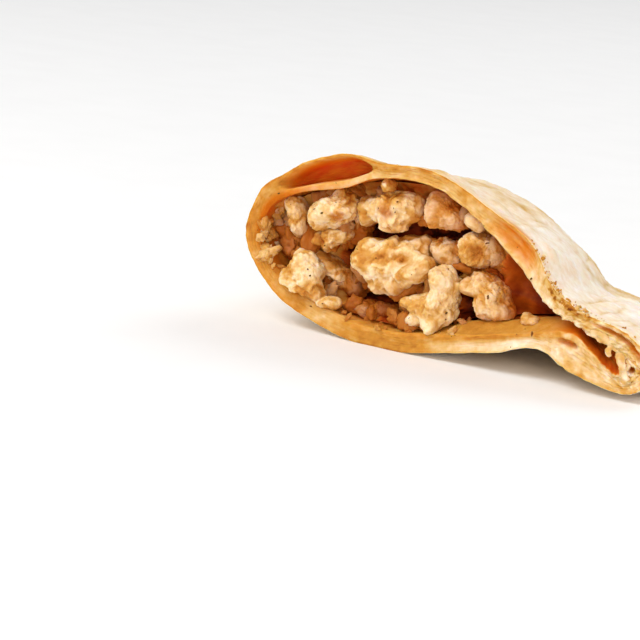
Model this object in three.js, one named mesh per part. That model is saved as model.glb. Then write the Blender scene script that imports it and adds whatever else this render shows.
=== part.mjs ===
// Half of a baked empanada, cut straight across: a thin folded crust, open at the cut, and a chicken filling.
// Millimetres, +Z up. It lies on its base, with the cut facing -Y, the fold at -X, the sealed edge at +X
// and the tip at +Y. Shapes are worked out with the cut at y = 0, and the group then moves the half so that
// its origin is at the bottom centre of its box.
import * as THREE from "three";
import { mergeVertices } from "three/addons/utils/BufferGeometryUtils.js";

// Driving dimensions.
const bodyLength = 88; // cut to tip
const foldX = -41; // the fold's outermost line at the cut
const edgeX = 52.5; // the sealed edge's outermost line at the cut
const foldBow = 7.75; // how far the fold bends inwards on its way to the tip
const slopeX = 26; // middle of the slope from the belly down to the sealed edge
const slopeWidth = 9; // half its width
const slopeSink = 0.1; // share of its height it loses behind the cut
const edgeDroop = 1.9; // how far the sealed edge sinks behind the cut, down to what it lies on
const hollowLength = 74; // cut to the blind end of the hollow in the crust
const gapDepth = 15; // how far the gap in the sealed edge runs in
const clearance = 0.35; // air between neighbouring pieces
const fillingInset = 0.45; // air between the filling and the wall
const faceDepth = 11.5; // cut to the packed filling behind the loose pieces
const floorForward = 4.5; // how much further forward it lies along the floor
const sideBack = 3; // and how much further back next to the sealed edge
const faceClearance = 1.1; // air between its face and those pieces
const proud = 1.2; // how far a torn piece may stick out of the cut
const lumpStretch = 1.5; // pieces of chicken are this much longer from front to back
const melt = 1.6; // how sharply a piece's lumps run together, per mm

// The wall at the cut, from the tip of the sealed edge over the top to the fold and back underneath.
// Each row has a point on the outside of the dough and one on the hollow at the mouth; deep is the hollow's
// point once the gap in the sealed edge and the bubble in the top have closed.
const section = [
  { outer: [edgeX, 5.8], mouth: [46.0, 7.6], deep: [31.6, 12.0] },
  { outer: [47.5, 11.9], mouth: [43.0, 9.8], deep: [31.2, 13.0] },
  { outer: [37.0, 15.8], mouth: [34.0, 12.5], deep: [30.4, 14.0] },
  { outer: [29.5, 19.4], mouth: [28.2, 15.4] },
  { outer: [23.6, 26.4], mouth: [21.8, 21.6] },
  { outer: [13.5, 31.4], mouth: [12.0, 28.4] },
  { outer: [2.0, 36.2], mouth: [1.5, 33.4] },
  { outer: [-10.0, 36.7], mouth: [-10.5, 33.4] },
  { outer: [-20.5, 37.0], mouth: [-19.5, 29.9], deep: [-20.2, 32.6] },
  { outer: [-32.0, 32.0], mouth: [-30.4, 26.9], deep: [-30.8, 28.6] },
  { outer: [-39.5, 24.5], mouth: [-37.0, 22.8] },
  { outer: [-40.6, 15.5], mouth: [-38.0, 16.0] },
  { outer: [-33.5, 6.6], mouth: [-31.2, 9.2] },
  { outer: [-20.0, 1.3], mouth: [-18.6, 4.6] },
  { outer: [-6.0, -0.3], mouth: [-6.0, 3.6] },
  { outer: [10.0, 2.4], mouth: [10.0, 5.9] },
  { outer: [27.0, 6.4], mouth: [25.5, 9.2] },
  { outer: [35.0, 3.6], mouth: [34.8, 10.9], deep: [30.4, 10.2] },
  { outer: [47.3, 1.7], mouth: [43.6, 5.6], deep: [31.2, 11.0] },
];

// Air pockets between the leaves of dough, open at the cut: row of the section at the middle, half length in
// rows, middle and half width as shares of the wall from outside in, and depth.
const pockets = [
  { row: 8.3, halfRows: 0.98, middle: 0.45, halfWidth: 0.37, depth: 8 }, // big bubble under the top skin
  { row: 4.05, halfRows: 0.62, middle: 0.42, halfWidth: 0.28, depth: 5 }, // slit on the sealed side
  { row: 16.8, halfRows: 0.3, middle: 0.7, halfWidth: 0.2, depth: 3 }, // small hole in the thick lower leaf
];

// Blisters raised by the oven, and the dip behind the open bubble: row of the section, share of the length,
// radius and height.
const blisters = [
  { row: 7.8, along: 0.13, radius: 16, height: -1.5 },
  { row: 5.2, along: 0.34, radius: 7, height: 0.7 },
  { row: 7.6, along: 0.52, radius: 8, height: 1.5 },
  { row: 9.8, along: 0.3, radius: 7, height: 1.2 },
  { row: 10.6, along: 0.6, radius: 6, height: 1.2 },
  { row: 3.4, along: 0.62, radius: 6, height: 1.1 },
  { row: 8.6, along: 0.78, radius: 6, height: 1.1 },
];

// Pieces of torn chicken at the cut, front ones first, as lumps that run together: [x, y, z, radius].
const chicken = {
  chicken_lower_centre: [
    [2.9, 4.6, 15.3, 2.7],
    [4.5, 5.2, 14.3, 1.8],
    [3.8, 4.5, 11.6, 2.7],
    [1.5, 4.2, 9.6, 2.5],
    [2.6, 3.6, 7.3, 2.3],
    [3.2, 1.6, 6.0, 1.4],
    [-1.5, 4.0, 9.1, 2.1],
    [-4.0, 3.4, 9.5, 1.2],
    [-1.7, 3.6, 6.5, 1.4],
    [4.6, 4.8, 9.1, 1.8],
  ],
  chicken_centre: [
    [-14.4, 6.0, 16.6, 3.5],
    [-10.8, 6.4, 16.0, 3.9],
    [-8.8, 6.4, 18.8, 2.5],
    [-11.0, 5.8, 12.8, 2.7],
    [-8.1, 5.4, 12.3, 2.0],
    [-3.2, 4.2, 16.0, 2.5],
    [-1.1, 4.0, 17.2, 2.0],
    [-5.2, 4.4, 14.2, 2.0],
    [-4.2, 8.4, 20.2, 2.1],
    [-6.3, 7.4, 19.7, 2.1],
    [-4.2, 7.0, 18.0, 2.3],
  ],
  chicken_upper_left: [
    [-25.6, 4.4, 23.3, 2.3],
    [-24.0, 4.6, 24.6, 2.5],
    [-21.1, 4.8, 25.1, 2.5],
    [-20.5, 5.2, 26.4, 1.8],
    [-22.7, 4.8, 22.8, 1.6],
    [-26.0, 4.2, 21.8, 1.6],
  ],
  chicken_lower_left: [
    [-28.4, 2.8, 12.8, 2.5],
    [-26.4, 3.0, 11.4, 2.3],
    [-29.7, 1.7, 10.0, 2.1],
    [-27.5, 1.8, 9.1, 2.3],
    [-25.4, 2.3, 8.4, 2.1],
    [-23.8, 1.8, 7.6, 1.4],
    [-30.1, 1.3, 9.1, 1.4],
  ],
  chicken_upper_middle: [
    [-16.8, 7.2, 26.0, 2.1],
    [-16.2, 7.6, 23.2, 1.6],
    [-11.2, 5.6, 27.5, 2.5],
    [-8.4, 5.8, 28.2, 2.3],
    [-6.5, 6.4, 26.9, 2.1],
    [-8.6, 5.2, 24.6, 2.0],
    [-11.1, 5.2, 24.4, 1.8],
    [-5.8, 7.2, 28.5, 1.8],
  ],
  chicken_upper_right: [
    [-0.5, 5.8, 29.4, 2.1],
    [0.2, 5.8, 27.3, 2.3],
    [2.6, 6.8, 27.2, 2.5],
    [3.8, 8.0, 26.5, 1.8],
    [1.1, 7.4, 29.3, 2.0],
  ],
  chicken_lower_right: [
    [8.1, 7.6, 14.5, 2.0],
    [10.6, 7.4, 15.4, 2.5],
    [13.0, 7.2, 13.4, 2.7],
    [14.9, 7.4, 11.4, 2.3],
    [12.4, 7.0, 11.4, 2.0],
    [16.3, 7.6, 10.4, 1.4],
  ],
  chicken_right: [
    [7.5, 7.4, 22.2, 2.3],
    [8.8, 8.0, 23.0, 1.8],
    [9.3, 8.4, 20.7, 2.0],
    [7.2, 7.0, 20.4, 1.6],
  ],
  chicken_middle_left: [
    [-27.3, 6.6, 17.7, 1.8],
    [-23.8, 5.8, 18.6, 2.0],
    [-21.4, 6.0, 19.4, 1.6],
    [-24.5, 6.4, 17.0, 1.4],
  ],
  chicken_far_left: [
    [-33.0, 5.0, 23.6, 1.6],
    [-32.1, 5.0, 21.9, 1.8],
    [-32.1, 5.4, 20.2, 1.6],
    [-31.0, 5.8, 19.0, 1.4],
  ],
  chicken_strip: [
    [-27.4, 9.0, 13.7, 1.9],
    [-25.1, 9.4, 12.1, 2.3],
    [-22.6, 10.0, 10.4, 2.3],
    [-20.2, 10.8, 8.7, 2.0],
  ],
  chicken_back_left: [
    [-19.5, 8.2, 25.7, 1.6],
    [-18.7, 8.4, 24.0, 1.8],
    [-18.1, 9.0, 21.8, 1.6],
  ],
  chicken_bit_top: [
    [-10.8, 3.6, 31.8, 1.4],
    [-10.1, 3.8, 31.5, 1.0],
  ],
  chicken_bit_right: [
    [8.2, 5.2, 27.9, 1.4],
    [9.5, 5.6, 26.9, 1.0],
  ],
  chicken_bit_floor: [
    [-21.7, 1.8, 6.3, 1.2],
    [-19.6, 2.2, 6.3, 1.2],
  ],
  chicken_bit_floor_right: [
    [22.5, 5.0, 11.3, 1.2],
    [24.1, 5.0, 11.2, 1.0],
  ],
};

// The outside's broad unevenness, the pleats that run up from the sealed edge, and that edge's own wave.
const swells = [
  { height: 0.55, wavelength: 19, seed: 2 },
  { height: 0.3, wavelength: 11, seed: 5 },
];
const pleats = { pitch: 15, depth: 1.1, lean: 2.5, rows: 5 };
const edgeWave = { pitch: 26, sideways: 1.3, upwards: 0.5 };

// Unevenness of the torn chicken, of the filling's face and of the knife's cut through the dough.
const tear = { height: 0.3, wavelength: 5.5, seed: 3 };
const lumpiness = { height: 1.4, wavelength: 7, seed: 6 };
const knifeWander = 0.25;

// How finely the surfaces are cut up.
const columns = 64;
const outerRows = 24;
const ringRows = 6;
const hollowRows = 12;
const faceRows = 9;
const pieceCuts = 6; // facets along an edge of the cube that a large piece is rounded from
const bitCuts = 4;
const rowSpacing = 10; // distance along the section from one of its rows to the next, about
const wallStep = 0.5; // spacing of the sections that pieces are held inside of

// Colours.
const crustColour = 0xe3bd85;
const fillingColour = 0xb98045;
const chickenColour = 0xe9c795;

const mix = (a, b, t) => a + (b - a) * t;
const smooth = THREE.MathUtils.smoothstep;

// A few crossed waves in step with a seed, about -1 to 1: soft unevenness without a pattern.
function ripple(x, y, z, wavelength, seed) {
  const waves = 5;
  let sum = 0;
  for (let k = 0; k < waves; k++) {
    const heading = seed * 1.7 + k * 2.4;
    const tilt = seed * 0.9 + k * 1.3;
    const along = (x * Math.cos(heading) + y * Math.sin(heading)) * Math.cos(tilt) + z * Math.sin(tilt);
    sum += Math.sin(((2 * Math.PI) / wavelength) * (0.8 + 0.1 * k) * along + seed * 3.1 + k * k);
  }
  return (sum / waves) * 1.6;
}

// A point on the closed Catmull-Rom curve through points, at row, which may lie between two of them.
function onLoop(points, row) {
  const count = points.length;
  const first = Math.floor(row);
  const t = row - first;
  const [a, b, c, d] = [-1, 0, 1, 2].map((k) => points[(first + k + count) % count]);
  return [0, 1].map(
    (i) =>
      0.5 *
      (2 * b[i] +
        (c[i] - a[i]) * t +
        (2 * a[i] - 5 * b[i] + 4 * c[i] - d[i]) * t ** 2 +
        (3 * b[i] - a[i] - 3 * c[i] + d[i]) * t ** 3),
  );
}

const outerPoints = section.map((knot) => knot.outer);
const mouthPoints = section.map((knot) => knot.mouth);
const deepPoints = section.map((knot) => knot.deep ?? knot.mouth);

// Carries a point of the section to share s of the length: the half swells a little behind the cut, then
// narrows and sinks towards its tip, most of all on the slope down to the sealed edge.
const widthLeft = (s) => (1 - s ** 2.7) ** 1.09;
const heightLeft = (s) => (1 + 0.025 * (1 - Math.exp(-20 * s)) - 0.52 * s) * Math.sqrt(1 - s ** 5);
function atShare([x, z], s) {
  const slope = Math.exp(-(((x - slopeX) / slopeWidth) ** 2)) * smooth(z, 8, 18);
  const sunk = 1 - slopeSink * Math.min(1, s / 0.35) * slope;
  return [foldX + foldBow * s ** 2 + (x - foldX) * widthLeft(s), z * heightLeft(s) * sunk];
}

// Outward direction of a loop in its own plane, from two points either side.
function outward(before, after) {
  const [dx, dz] = [after[0] - before[0], after[1] - before[1]];
  const size = Math.hypot(dx, dz) || 1;
  return [dz / size, -dx / size];
}

// How far the crust's outside stands out from the plain form.
function crustRelief(row, s, x, y, z) {
  let height = 0;
  for (const swell of swells) height += swell.height * ripple(x, y, z, swell.wavelength, swell.seed);
  for (const b of blisters) {
    const away = Math.hypot((row - b.row) * rowSpacing, (s - b.along) * bodyLength) / b.radius;
    if (away < 1) height += b.height * (1 - away ** 2) ** 2;
  }
  const fromEdge = Math.min(row, section.length - row);
  const across = Math.abs(Math.sin((Math.PI * (y + fromEdge * pleats.lean)) / pleats.pitch + 0.8));
  const nearEdge = (1 - smooth(fromEdge, 1.5, pleats.rows)) * smooth(s, 0.12, 0.3);
  return height - pleats.depth * (1 - across) ** 3 * nearEdge;
}

// A point on the crust's outside.
function onCrust(row, s) {
  const step = 0.05;
  const [x, z] = atShare(onLoop(outerPoints, row), s);
  const [nx, nz] = outward(
    atShare(onLoop(outerPoints, row - step), s),
    atShare(onLoop(outerPoints, row + step), s),
  );
  const y = bodyLength * s;
  const fadeAtTip = 1 - smooth(s, 0.93, 1);
  const relief = crustRelief(row, s, x, y, z) * smooth(z, 0.5, 5) * fadeAtTip;
  const flap = smooth((x - foldX) / ((edgeX - foldX) * widthLeft(s)), 0.8, 1);
  const wave = Math.sin((2 * Math.PI * y) / edgeWave.pitch + 0.6) * flap * smooth(s, 0.04, 0.2) * fadeAtTip;
  const drooped = edgeDroop * smooth(s, 0.03, 0.2) * smooth(x, 34, 44) * (1 - smooth(z, 3, 7));
  const raised = z + nz * relief + edgeWave.upwards * wave - drooped;
  return [x + nx * relief + edgeWave.sideways * wave, y, Math.max(0, raised)];
}

// A point on the hollow inside the crust, inset by the given air.
function onHollow(row, s, inset = 0) {
  const closed = smooth(s * bodyLength, 0, gapDepth);
  const at = (r) => {
    const mouth = onLoop(mouthPoints, r);
    const deep = onLoop(deepPoints, r);
    return atShare([mix(mouth[0], deep[0], closed), mix(mouth[1], deep[1], closed)], s);
  };
  const [x, z] = at(row);
  const [nx, nz] = outward(at(row - 0.05), at(row + 0.05));
  return [x - nx * inset, bodyLength * s, z - nz * inset];
}

// Distance from a point to the hollow's wall, at the point's own depth.
function wallDistance(x, y, z) {
  const level = Math.max(0, Math.round(y / wallStep));
  wallRings[level] ??= ringAt((row) => onHollow(row, (level * wallStep) / bodyLength));
  let nearest = Infinity;
  let inside = false;
  wallRings[level].forEach(([bx, , bz], c, ring) => {
    const [ax, , az] = ring[(c + columns - 1) % columns];
    const [dx, dz] = [bx - ax, bz - az];
    const t = THREE.MathUtils.clamp(((x - ax) * dx + (z - az) * dz) / (dx * dx + dz * dz), 0, 1);
    nearest = Math.min(nearest, Math.hypot(x - ax - t * dx, z - az - t * dz));
    if (az > z !== bz > z && x < ax + ((z - az) / dz) * dx) inside = !inside;
  });
  return inside ? nearest : -nearest;
}

// How far a point of the cut surface lies behind the cut: a slightly uneven knife cut, with the air pockets.
function cutDepth(row, share) {
  let depth = 0;
  for (const p of pockets) {
    const away = Math.hypot((row - p.row) / p.halfRows, (share - p.middle) / p.halfWidth);
    depth = Math.max(depth, p.depth * smooth(1 - away, 0, 0.55));
  }
  const wander = 1.7 + ripple(row * rowSpacing, share * 3, 0, rowSpacing, 4);
  return depth + knifeWander * wander * Math.sin(Math.PI * share);
}

// A closed mesh from rings of points, with a point to close each end. The first end is the one at the tip,
// and each ring turns left as seen from the cut.
function closedMesh(firstEnd, rings, lastEnd) {
  const positions = [firstEnd, ...rings.flat(), lastEnd].flat();
  const across = columns;
  const vertex = (ring, column) => 1 + ring * across + (column % across);
  const last = 1 + rings.length * across;
  const index = [];
  for (let c = 0; c < across; c++) {
    index.push(0, vertex(0, c + 1), vertex(0, c));
    for (let r = 0; r + 1 < rings.length; r++) {
      const [a, b, d, e] = [vertex(r, c), vertex(r, c + 1), vertex(r + 1, c), vertex(r + 1, c + 1)];
      index.push(a, b, d, b, e, d);
    }
    index.push(last, vertex(rings.length - 1, c), vertex(rings.length - 1, c + 1));
  }
  const geometry = new THREE.BufferGeometry();
  geometry.setAttribute("position", new THREE.Float32BufferAttribute(positions, 3));
  geometry.setIndex(index);
  return geometry;
}

const wallRings = [];
const rowOf = (column) => (column / columns) * section.length;
const ringAt = (point) => Array.from({ length: columns }, (_, c) => point(rowOf(c)));

// Shares of the length from the cut to the tip, closer together towards the tip.
const lengthShare = (t) => 0.45 * t + 0.55 * Math.sin((Math.PI / 2) * t);

// Share of the length at a ring of the hollow.
const hollowShare = (r) => (hollowLength / bodyLength) * lengthShare(r / hollowRows);

// The mean of a ring's points.
const middleOf = (ring) => [0, 1, 2].map((i) => ring.reduce((sum, p) => sum + p[i], 0) / ring.length);

// A ring on the hollow or inset from it, rounded off towards a blind end.
function hollowRing(s, endShare, inset) {
  const ring = ringAt((row) => onHollow(row, s, inset));
  const middle = middleOf(ring);
  const keep = Math.sqrt(1 - (s / endShare) ** 8);
  return ring.map((p) => p.map((v, i) => mix(middle[i], v, keep)));
}

// The crust: its outside from the tip to the cut, the cut surface, then the hollow to its blind end.
function crustGeometry() {
  const rings = [];
  for (let r = outerRows - 1; r >= 0; r--) {
    rings.push(ringAt((row) => onCrust(row, lengthShare(r / outerRows))));
  }
  for (let r = 1; r < ringRows; r++) {
    const share = r / ringRows;
    rings.push(
      ringAt((row) => {
        const depth = cutDepth(row, share);
        const outside = onCrust(row, depth / bodyLength);
        const inside = onHollow(row, depth / bodyLength);
        return [mix(outside[0], inside[0], share), depth, mix(outside[2], inside[2], share)];
      }),
    );
  }
  for (let r = 0; r < hollowRows; r++) rings.push(hollowRing(hollowShare(r), hollowShare(hollowRows), 0));
  const blindEnd = middleOf(ringAt((row) => onHollow(row, hollowShare(hollowRows))));
  const tip = middleOf(ringAt((row) => onCrust(row, 1)));
  return closedMesh(tip, rings, blindEnd);
}

// Signed distance from a point to a piece made of lumps, with its torn surface.
function pieceDistance(lumps, x, y, z) {
  let sum = 0;
  for (const [lx, ly, lz, radius] of lumps) {
    sum += Math.exp(-melt * (Math.hypot(x - lx, (y - ly) / lumpStretch, z - lz) - radius));
  }
  return -Math.log(sum) / melt - tear.height * ripple(x, y, z, tear.wavelength, tear.seed);
}

const allLumps = Object.values(chicken);

// A piece of chicken: in each direction from its middle, its surface is where its lumps end, or short of the
// wall or a piece in front of it.
function pieceGeometry(lumps, cuts) {
  const inFront = allLumps.slice(0, allLumps.indexOf(lumps));
  const middle = [0, 1, 2].map((i) => {
    const weight = lumps.reduce((sum, lump) => sum + lump[3] ** 2, 0);
    return lumps.reduce((sum, lump) => sum + lump[i] * lump[3] ** 2, 0) / weight;
  });
  const inside = (x, y, z) =>
    Math.max(
      pieceDistance(lumps, x, y, z),
      clearance - wallDistance(x, y, z),
      -proud - y,
      ...inFront.map((other) => clearance - pieceDistance(other, x, y, z)),
    );
  const box = new THREE.BoxGeometry(2, 2, 2, cuts, cuts, cuts);
  box.deleteAttribute("normal");
  box.deleteAttribute("uv");
  const geometry = mergeVertices(box);
  const corners = geometry.getAttribute("position");
  const step = 0.25;
  const even = (v) => Math.tan((v * Math.PI) / 4); // spaces the cube's lines evenly over the sphere
  const corner = new THREE.Vector3();
  for (let i = 0; i < corners.count; i++) {
    const way = corner.fromBufferAttribute(corners, i).toArray().map(even);
    const size = Math.hypot(...way);
    const along = (reach) => way.map((v, axis) => middle[axis] + (v * reach) / size);
    let reach = 0;
    while (inside(...along(reach + step)) < 0) reach += step;
    const [before, after] = [inside(...along(reach)), inside(...along(reach + step))];
    corners.setXYZ(i, ...along(reach + (step * before) / (before - after)));
  }
  return geometry;
}

// How far behind the cut the packed filling's face lies at x, z, pushed back behind every loose piece.
function fillingDepth(x, z) {
  let depth = faceDepth + lumpiness.height * ripple(x, 0, z, lumpiness.wavelength, lumpiness.seed);
  depth -= floorForward * (1 - smooth(z, 5, 9)) * (1 - smooth(x, 2, 14));
  depth += sideBack * smooth(x, 16, 22);
  for (let pass = 0; pass < 60; pass++) {
    const nearest = Math.min(...allLumps.map((lumps) => pieceDistance(lumps, x, depth, z)));
    if (nearest >= faceClearance) break;
    depth += Math.max(0.1, (faceClearance - nearest) * 0.7);
  }
  return depth;
}

// The packed filling: its face, then its sides along the hollow to the blind end.
function fillingGeometry() {
  const middle = middleOf(ringAt((row) => onHollow(row, faceDepth / bodyLength, fillingInset)));
  // A point of the face, in step with how far the hollow has narrowed at its depth.
  const onFace = (row, keep) => {
    let y = faceDepth;
    let point;
    for (let pass = 0; pass < 4; pass++) {
      const [x, , z] = onHollow(row, y / bodyLength, fillingInset);
      point = [mix(middle[0], x, keep), mix(middle[2], z, keep)];
      y = fillingDepth(...point);
    }
    return [point[0], y, point[1]];
  };
  const rings = [];
  for (let r = 1; r <= faceRows; r++) rings.push(ringAt((row) => onFace(row, r / faceRows)));
  const deepest = Math.max(...rings.at(-1).map((p) => p[1]));
  const endShare = (hollowLength - 1.5) / bodyLength;
  for (let r = 0; r < hollowRows; r++) {
    const s = hollowShare(r);
    if (s * bodyLength > deepest + 1 && s < endShare) rings.push(hollowRing(s, endShare, fillingInset));
  }
  const back = middleOf(ringAt((row) => onHollow(row, endShare, fillingInset)));
  const front = [middle[0], fillingDepth(middle[0], middle[2]), middle[2]];
  return closedMesh(back, rings.reverse(), front);
}

function mesh(name, geometry, color, roughness) {
  const made = new THREE.Mesh(geometry, new THREE.MeshStandardMaterial({ color, roughness, metalness: 0 }));
  made.name = name;
  return made;
}

const empanada = new THREE.Group();
empanada.add(mesh("crust", crustGeometry(), crustColour, 0.75));
empanada.add(mesh("filling", fillingGeometry(), fillingColour, 0.5));
for (const [name, lumps] of Object.entries(chicken)) {
  const cuts = lumps.length > 2 ? pieceCuts : bitCuts;
  empanada.add(mesh(name, pieceGeometry(lumps, cuts), chickenColour, 0.5));
}
const box = new THREE.Box3().setFromObject(empanada);
const centre = box.getCenter(new THREE.Vector3());
empanada.position.set(-centre.x, -centre.y, -box.min.z);

export default empanada;
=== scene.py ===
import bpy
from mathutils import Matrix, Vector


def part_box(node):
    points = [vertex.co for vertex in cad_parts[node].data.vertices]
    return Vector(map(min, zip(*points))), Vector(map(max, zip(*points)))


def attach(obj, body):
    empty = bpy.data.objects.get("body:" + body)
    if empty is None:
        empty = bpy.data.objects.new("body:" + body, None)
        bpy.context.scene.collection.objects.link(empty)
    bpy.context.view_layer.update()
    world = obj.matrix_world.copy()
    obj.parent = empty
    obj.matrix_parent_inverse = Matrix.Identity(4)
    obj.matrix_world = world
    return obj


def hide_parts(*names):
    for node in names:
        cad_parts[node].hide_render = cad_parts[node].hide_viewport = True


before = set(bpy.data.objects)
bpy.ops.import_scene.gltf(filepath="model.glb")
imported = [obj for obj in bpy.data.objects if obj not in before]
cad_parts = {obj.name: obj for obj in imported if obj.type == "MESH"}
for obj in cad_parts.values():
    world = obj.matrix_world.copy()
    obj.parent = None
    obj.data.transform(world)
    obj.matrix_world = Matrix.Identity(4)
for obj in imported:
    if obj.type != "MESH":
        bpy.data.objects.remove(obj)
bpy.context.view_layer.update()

import math
from functools import partial

import bpy
import numpy as np
from mathutils import Matrix, Vector

# Half an empanada, lying with its cut towards the camera.
# Shapes are worked out in millimetres with the cut at y = 0, then moved onto the frame's pieces.

# a where t is 0, b where it is 1
def mix(a, b, t):
    return a + (b - a) * t


# 0 below low, 1 above high, 3t^2-2t^3 between them
def smooth(x, low, high):
    t = np.clip((x - low) / (high - low), 0, 1)
    return t * t * (3 - 2 * t)


# The mean of five sine waves that run in different directions, about -1 to 1. The frame's pieces use the same.
def ripple(x, y, z, wavelength, seed):
    total = 0
    for k in range(5):
        heading, tilt = seed * 1.7 + k * 2.4, seed * 0.9 + k * 1.3
        along = (x * math.cos(heading) + y * math.sin(heading)) * math.cos(tilt) + z * math.sin(tilt)
        total += np.sin(2 * math.pi / wavelength * (0.8 + 0.1 * k) * along + seed * 3.1 + k * k)
    return total / 5 * 1.6


# Directions from vectors: v/|v|
def unit(vectors):
    return vectors / np.maximum(np.linalg.norm(vectors, axis=-1, keepdims=True), 1e-9)


# Points from x, y and z, which may be arrays or plain numbers
def spots(x, y=0.0, z=0.0):
    return np.stack(np.broadcast_arrays(x, y, z), -1).astype(float)


# Three seeded random numbers for each lattice cell, from a table that starts again after 32 cells
def cellRandom(cells, seed, tables={}):
    if seed not in tables:
        tables[seed] = np.random.default_rng(seed).random((32, 32, 32, 3))
    i, j, k = np.moveaxis(cells % 32, -1, 0)
    return tables[seed][i, j, k]


# Each point's lattice cell and its place there, in cells; the shift keeps the cells' numbers above 0
def inCells(points, grain, shift=500):
    p = points / grain + shift
    cell = np.floor(p).astype(int)
    return cell, p - cell


# The eight corners of a cell, and how much each counts at a place in it
def cornerWeights(part):
    for corner in np.ndindex(2, 2, 2):
        yield corner, np.prod(np.where(np.array(corner) == 1, part, 1 - part), axis=-1)


# Gradient noise, about -1 to 1: at each corner of a point's cell, the corner's random slope times the way from it
# to the point, blended by 6t^5-15t^4+10t^3
def noise(points, grain, seed):
    cell, part = inCells(points, grain)
    total = 0
    for corner, weight in cornerWeights(part ** 3 * (part * (part * 6 - 15) + 10)):
        slope = cellRandom(cell + corner, seed) * 2 - 1
        total += weight * np.sum(slope * (part - corner), axis=-1)
    return total * 1.7


# Noise on noise, each layer at half the grain and a share of the height of the one before
def roughness(points, grain, seed, layers=3, keep=0.5):
    return sum(noise(points, grain / 2 ** k, seed + k) * keep ** k for k in range(layers))


# The cells round about each point, and the ways to it from the random point in each
def spotsAround(points, grain, seed):
    cell, part = inCells(points, grain)
    for step in np.ndindex(3, 3, 3):
        over = np.array(step) - 1
        yield cell + over, part - over - cellRandom(cell + over, seed)


# Distances to the nearest and second nearest of the random points round about, in cells
def nuggets(points, grain, seed):
    nearest = second = np.full(points.shape[:-1], 9.0)
    for _, way in spotsAround(points, grain, seed):
        away = np.linalg.norm(way, axis=-1)
        second = np.minimum(second, np.maximum(nearest, away))
        nearest = np.minimum(nearest, away)
    return nearest, second


# Lumps packed together with soft valleys: -ln(sum of e^(-sharp d))/sharp over the random points round about,
# from about 0 on a lump's middle to 0.6 in a valley
def lumpy(points, grain, seed, sharp=9):
    near = sum(np.exp(-sharp * np.linalg.norm(way, axis=-1)) for _, way in spotsAround(points, grain, seed))
    return -np.log(near) / sharp


# Torn flakes, each flat and tilted its own way: sum of e^(-sharp d)(tilt . way)/sum of e^(-sharp d) over the
# random points round about, about -0.5 to 0.5
def flakes(points, grain, seed, sharp=16):
    total, weights = 0, 0
    for cell, way in spotsAround(points, grain, seed):
        near = np.exp(-sharp * np.linalg.norm(way, axis=-1))
        total += near * np.sum((cellRandom(cell, seed + 1) * 2 - 1) * way, axis=-1)
        weights += near
    return total / weights


# The smooth curve through b and c, which a comes before and d after, at share t of the way from b to c:
# 0.5(2b + (c-a)t + (2a-5b+4c-d)t^2 + (3b-a-3c+d)t^3)
def curveThrough(a, b, c, d, t):
    return 0.5 * (2 * b + (c - a) * t + (2 * a - 5 * b + 4 * c - d) * t ** 2 + (3 * b - a - 3 * c + d) * t ** 3)


# Faces between closed rings of equally many points, and from a single point to the ring at either end.
# The points are the first end, the rings one after another, then the last end.
def ringFaces(ringCount, across):
    c = np.arange(across)
    after = (c + 1) % across
    last = 1 + (ringCount - 1) * across
    base = 1 + np.arange(ringCount - 1)[:, None] * across
    return [
        np.stack([0 * c, 1 + after, 1 + c], 1),
        np.stack([base + c, base + after, base + across + after, base + across + c], 2).reshape(-1, 4),
        np.stack([0 * c + last + across, last + c, last + after], 1),
    ]


# Directions from a cube's middle to the n by n squares on each side, spread evenly by tan, and the squares
def cubeDirections(n):
    a, b = np.meshgrid(np.linspace(-1, 1, n + 1), np.linspace(-1, 1, n + 1), indexing="ij")
    end = np.ones_like(a)
    sides = [(-end, b, a), (end, a, b), (a, -end, b), (b, end, a), (b, a, -end), (a, b, end)]
    grid, index = np.unique(np.stack(sides).swapaxes(0, 1).reshape(3, -1), axis=1, return_inverse=True)
    index = index.reshape(6, n + 1, n + 1)
    squares = np.stack([index[:, :-1, :-1], index[:, 1:, :-1], index[:, 1:, 1:], index[:, :-1, 1:]], 3)
    return unit(np.tan(grid.T * math.pi / 4)), squares.reshape(-1, 4)


frameShift = np.array([-5.6938, -43.4, 0])  # mm from the shapes' own origin to the frame's


# Puts points (mm) and faces into a smooth mesh, with values for its material at each point
def makePiece(name, points, faceSets, material, values=None, rides="root"):
    corners = np.concatenate([faces.reshape(-1) for faces in faceSets])
    sizes = np.concatenate([np.full(len(faces), faces.shape[1]) for faces in faceSets])
    mesh = bpy.data.meshes.new(name)
    mesh.vertices.add(len(points))
    mesh.vertices.foreach_set("co", ((points + frameShift) / 1000).astype(np.float32).ravel())
    mesh.loops.add(len(corners))
    mesh.loops.foreach_set("vertex_index", corners.astype(np.int32))
    mesh.polygons.add(len(sizes))
    mesh.polygons.foreach_set("loop_start", np.concatenate([[0], np.cumsum(sizes)[:-1]]).astype(np.int32))
    mesh.polygons.foreach_set("use_smooth", np.ones(len(sizes), bool))
    for key, value in (values or {}).items():
        mesh.attributes.new(key, "FLOAT", "POINT").data.foreach_set("value", value.astype(np.float32).ravel())
    mesh.update(calc_edges=True)
    mesh.validate()
    mesh.materials.append(material)
    piece = bpy.data.objects.new(name, mesh)
    bpy.context.scene.collection.objects.link(piece)
    if rides:
        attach(piece, rides)
    return piece


# An sRGB hex colour as linear numbers
def colour(hexCode):
    parts = [int(hexCode[i:i + 2], 16) / 255 for i in (1, 3, 5)]
    return [p / 12.92 if p <= 0.04045 else ((p + 0.055) / 1.055) ** 2.4 for p in parts] + [1]


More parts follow.
